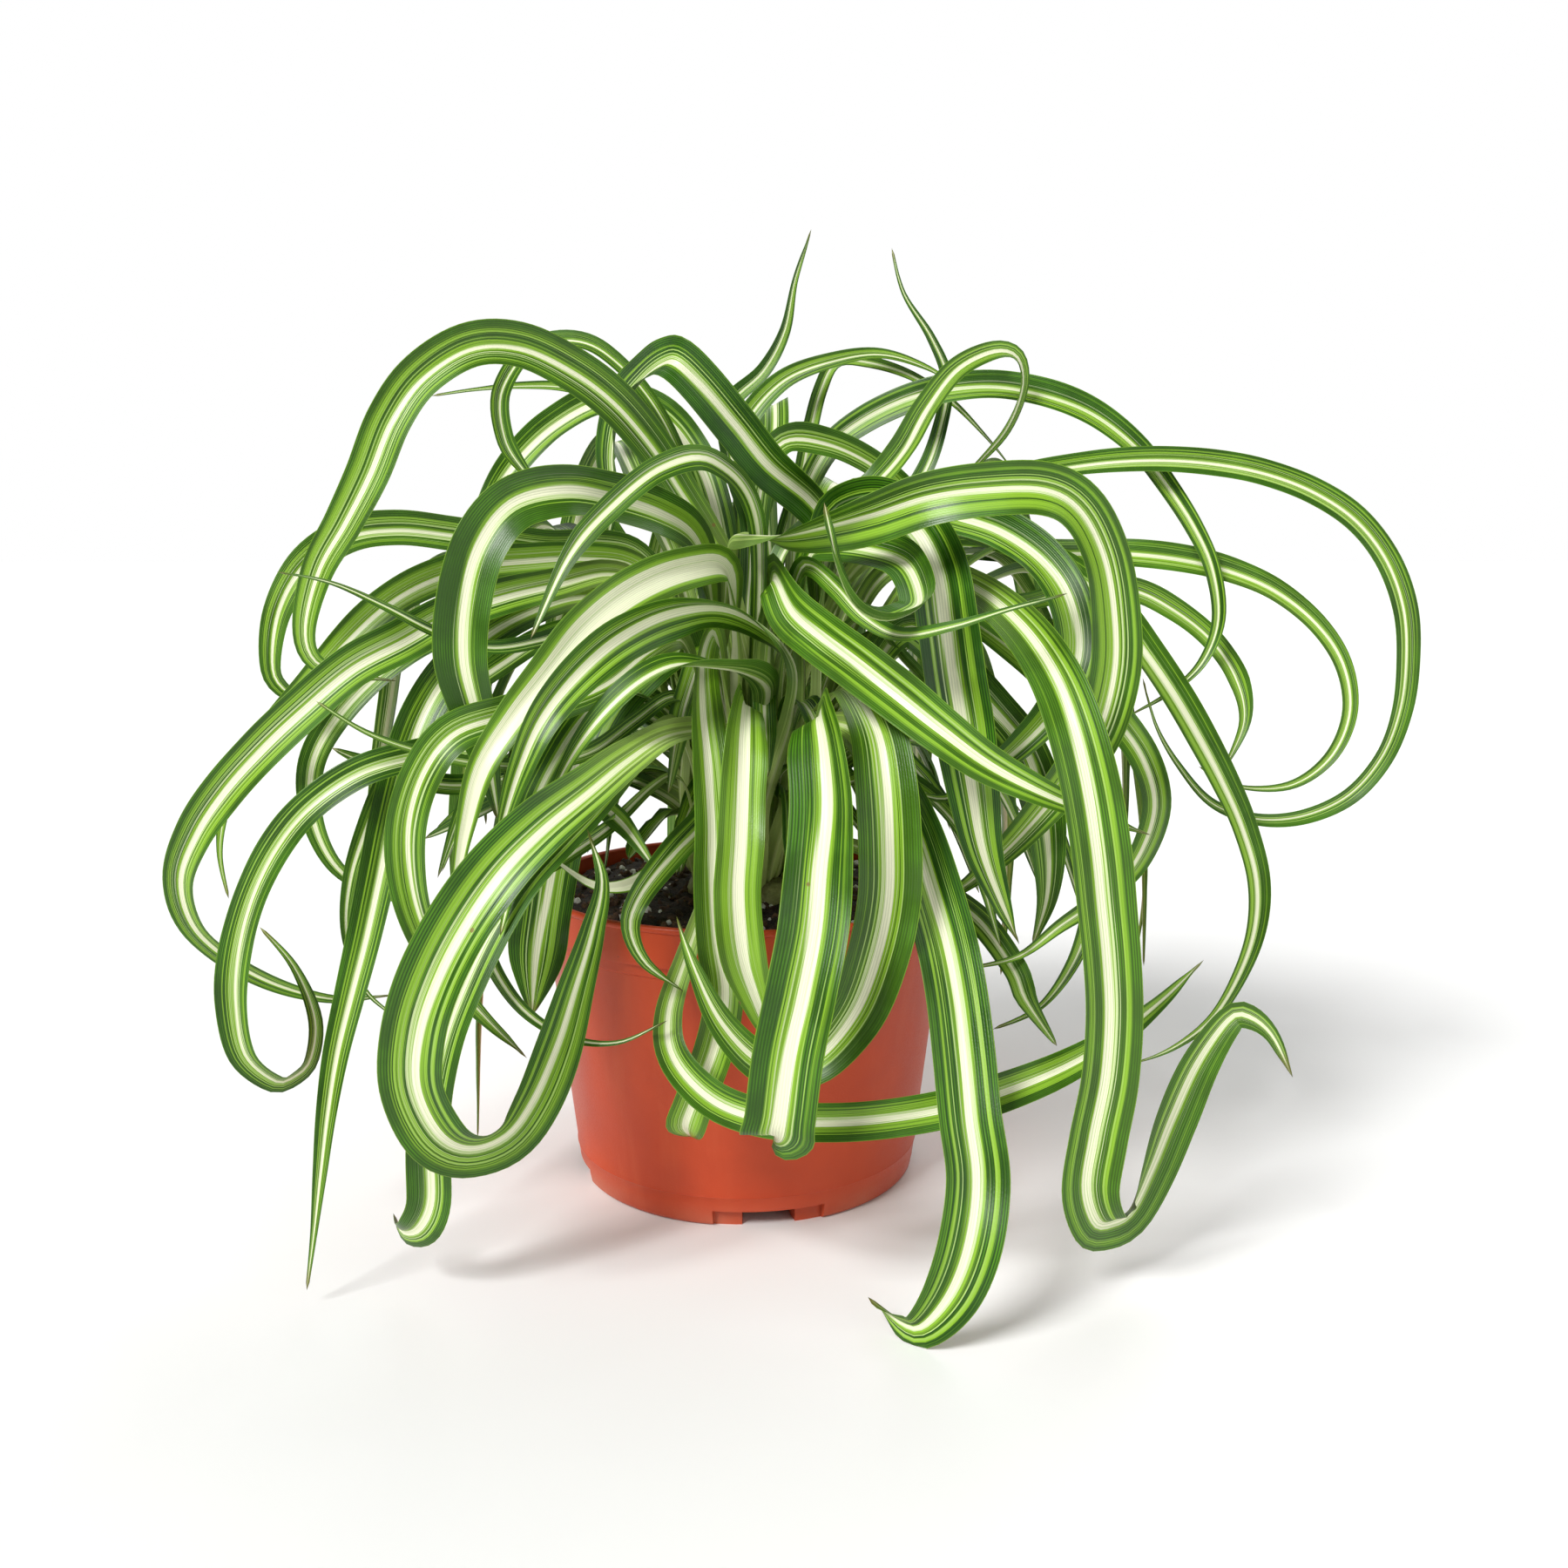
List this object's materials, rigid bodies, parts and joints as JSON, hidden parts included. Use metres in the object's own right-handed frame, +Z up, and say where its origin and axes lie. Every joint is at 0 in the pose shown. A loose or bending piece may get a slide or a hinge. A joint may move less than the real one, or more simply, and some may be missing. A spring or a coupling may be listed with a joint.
{
  "type": "potted plant",
  "caption": "Spider plant with long arching variegated leaves hanging over a plain round tapered nursery pot that stands flat on its base.",
  "frame": {"origin": "centre of the pot's flat base, on the surface it stands on", "axes": "+Z up along the pot's axis, -Y towards the viewer's front with the hanging leaves, +X to the viewer's right"},
  "size_m": [0.4255, 0.2883, 0.3411],
  "materials": {
    "pot": "satin terracotta-coloured thin plastic",
    "soil": "rough dark potting mix with white perlite",
    "crown": "pale, matte",
    "leaf": "satin green with a cream centre stripe"
  },
  "bodies": {
    "root": {"crown": "crown", "leaf_back_centre_high": "leaf", "leaf_back_centre_long": "leaf", "leaf_back_left_arch": "leaf", "leaf_back_left_high": "leaf", "leaf_back_left_low": "leaf", "leaf_back_left_wide": "leaf", "leaf_back_right_high": "leaf", "leaf_back_right_low": "leaf", "leaf_back_right_wide": "leaf", "leaf_behind_big_left": "leaf", "leaf_centre_curl": "leaf", "leaf_diagonal_front": "leaf", "leaf_far_left": "leaf", "leaf_front_left_big": "leaf", "leaf_front_right_long": "leaf", "leaf_green_left_arch": "leaf", "leaf_hanging_front_centre": "leaf", "leaf_hanging_left_centre": "leaf", "leaf_hanging_pale_centre": "leaf", "leaf_hanging_right_centre": "leaf", "leaf_kinked_top": "leaf", "leaf_left_dark_hang": "leaf", "leaf_left_hanging_loop": "leaf", "leaf_left_high_arch": "leaf", "leaf_left_inner_curl": "leaf", "leaf_left_lower_curl": "leaf", "leaf_left_outer_loop": "leaf", "leaf_left_second_arch": "leaf", "leaf_left_vertical_wide": "leaf", "leaf_left_wavy_loop": "leaf", "leaf_low_front_sweep": "leaf", "leaf_low_left_arch": "leaf", "leaf_lower_left_straight": "leaf", "leaf_pale_left_arch": "leaf", "leaf_right_dark_leaf": "leaf", "leaf_right_far_arch": "leaf", "leaf_right_front_band": "leaf", "leaf_right_hanging_fold": "leaf", "leaf_right_inner_loop": "leaf", "leaf_right_loop_inner": "leaf", "leaf_right_loop_outer": "leaf", "leaf_right_low_curl": "leaf", "leaf_right_side_curl": "leaf", "leaf_right_upper_arch": "leaf", "leaf_right_vertical_wide": "leaf", "leaf_rim_curl_left": "leaf", "leaf_thin_front_right": "leaf", "leaf_thin_left_cross": "leaf", "leaf_thin_left_lower": "leaf", "leaf_thin_pot_swag": "leaf", "leaf_thin_top_arch": "leaf", "leaf_top_fold_arch": "leaf", "leaf_top_left_thin": "leaf", "leaf_top_right_loop": "leaf", "leaf_top_tip_left": "leaf", "leaf_top_tip_right": "leaf", "leaf_white_rim_curl": "leaf", "nursery_pot": "pot", "potting_mix": "soil"}
  },
  "joints": []
}
